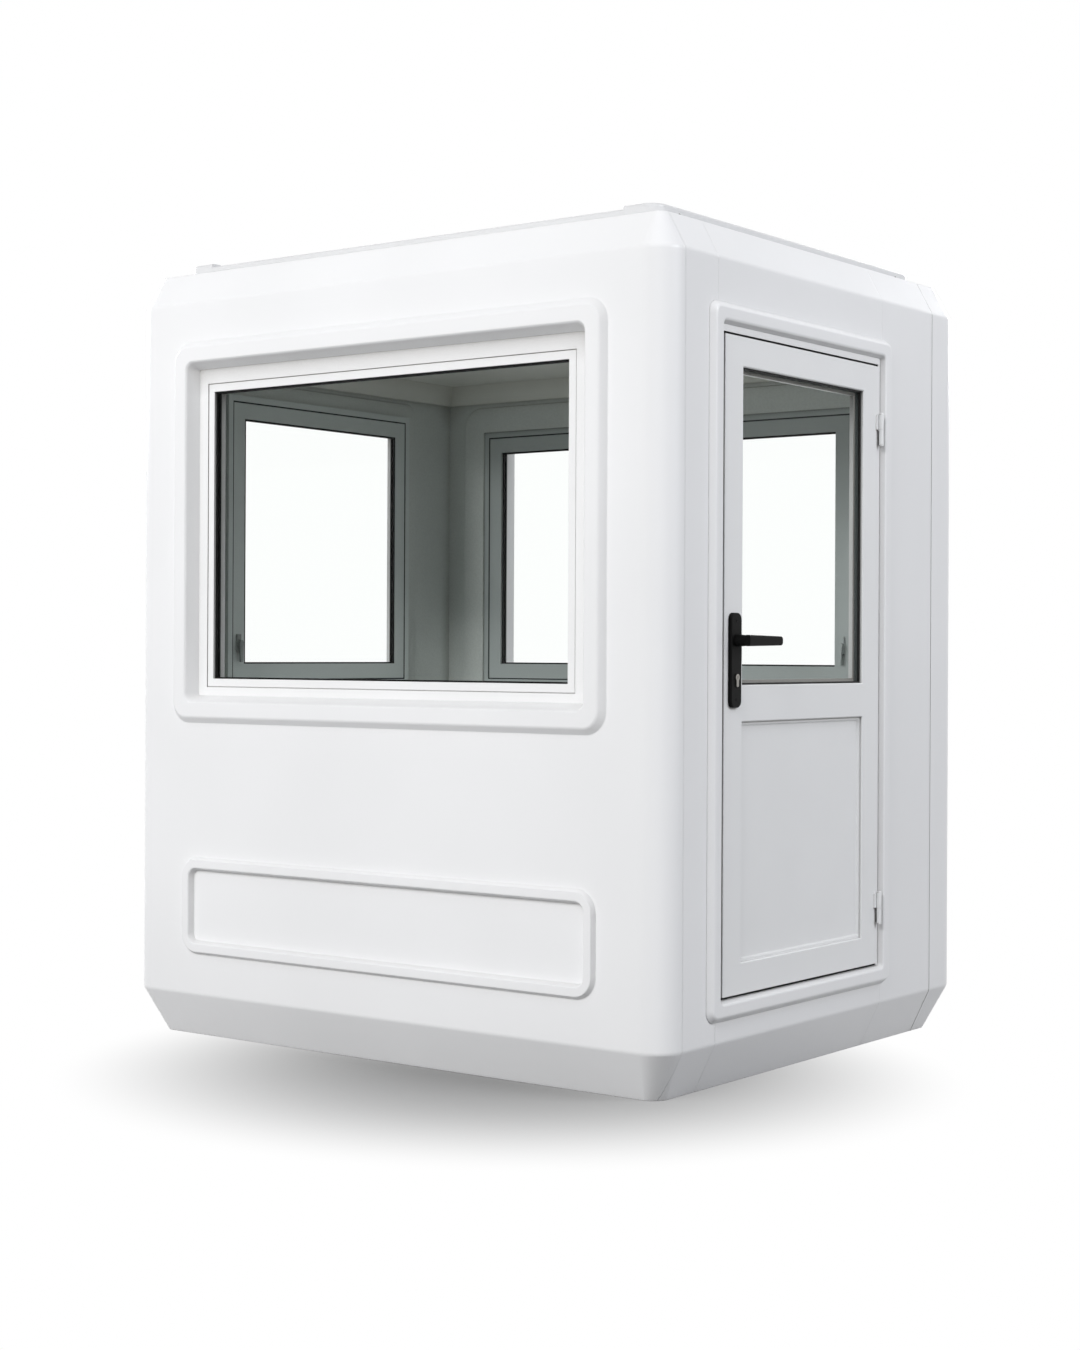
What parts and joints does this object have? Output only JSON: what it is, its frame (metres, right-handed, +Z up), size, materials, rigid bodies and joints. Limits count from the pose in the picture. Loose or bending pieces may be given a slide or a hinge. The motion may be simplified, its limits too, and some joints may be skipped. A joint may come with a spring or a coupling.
{
  "type": "security guard booth",
  "caption": "Moulded white guard booth with sloped skirt and eave, raised window surrounds, tinted glazing and an outward-opening half-glazed door with a lever handle.",
  "frame": {"origin": "centre of the flat underside, on the ground", "axes": "+Z up, the front wall with the fixed window faces -Y, the door wall faces +X"},
  "size_m": [2.1075, 1.732, 2.418],
  "materials": {
    "white_gelcoat": "satin moulded gelcoat",
    "white_frame": "satin white coating",
    "grey_floor": "matt underside",
    "floor_vinyl": "matt vinyl sheet",
    "black_trim": "satin black",
    "black_rubber": "matt rubber",
    "tinted_glass": "grey-green tint",
    "steel": "satin nickel"
  },
  "bodies": {
    "booth": {"base_slab": "grey_floor", "floor_covering": "floor_vinyl", "front_wall": "white_gelcoat", "left_wall": "white_gelcoat", "back_wall": "white_gelcoat", "door_wall_front": "white_gelcoat", "door_wall_back": "white_gelcoat", "door_wall_head": "white_gelcoat", "door_wall_sill": "white_gelcoat", "roof_deck": "white_gelcoat", "ceiling": "white_gelcoat", "roof_rim_front": "white_gelcoat", "roof_rim_back": "white_gelcoat", "roof_rim_left": "white_gelcoat", "roof_rim_right": "white_gelcoat", "front_window_frame": "white_frame", "front_window_bead": "white_frame", "front_window_gasket": "black_rubber", "front_window_glass": "tinted_glass", "left_window_frame": "white_frame", "left_window_sash": "white_frame", "left_window_gasket": "black_rubber", "left_window_glass": "tinted_glass", "left_window_latch": "black_trim", "back_window_frame": "white_frame", "back_window_sash": "white_frame", "back_window_gasket": "black_rubber", "back_window_glass": "tinted_glass", "back_window_latch": "black_trim", "door_surround": "white_gelcoat", "door_frame": "white_frame", "hinge_pins": "white_frame"},
    "door": {"door_leaf": "white_frame", "door_lower_panel": "white_frame", "door_glass": "tinted_glass", "door_gasket": "black_rubber", "door_glass_bead": "white_frame", "hinge_barrels": "white_frame", "handle_plates": "black_trim", "lock_cylinder": "steel"},
    "lever": {"lever_handle": "black_trim"}
  },
  "joints": [
    {"name": "door_swing", "type": "hinge", "parent": "booth", "child": "door", "pos_m": [1.028, 0.2935, 1.1775], "axis": [0, 0, 1], "range_deg": [0, 150]},
    {"name": "lever_turn", "type": "hinge", "parent": "door", "child": "lever", "pos_m": [1.016, -0.527, 1.234], "axis": [-1, 0, 0], "range_deg": [0, 40]}
  ]
}
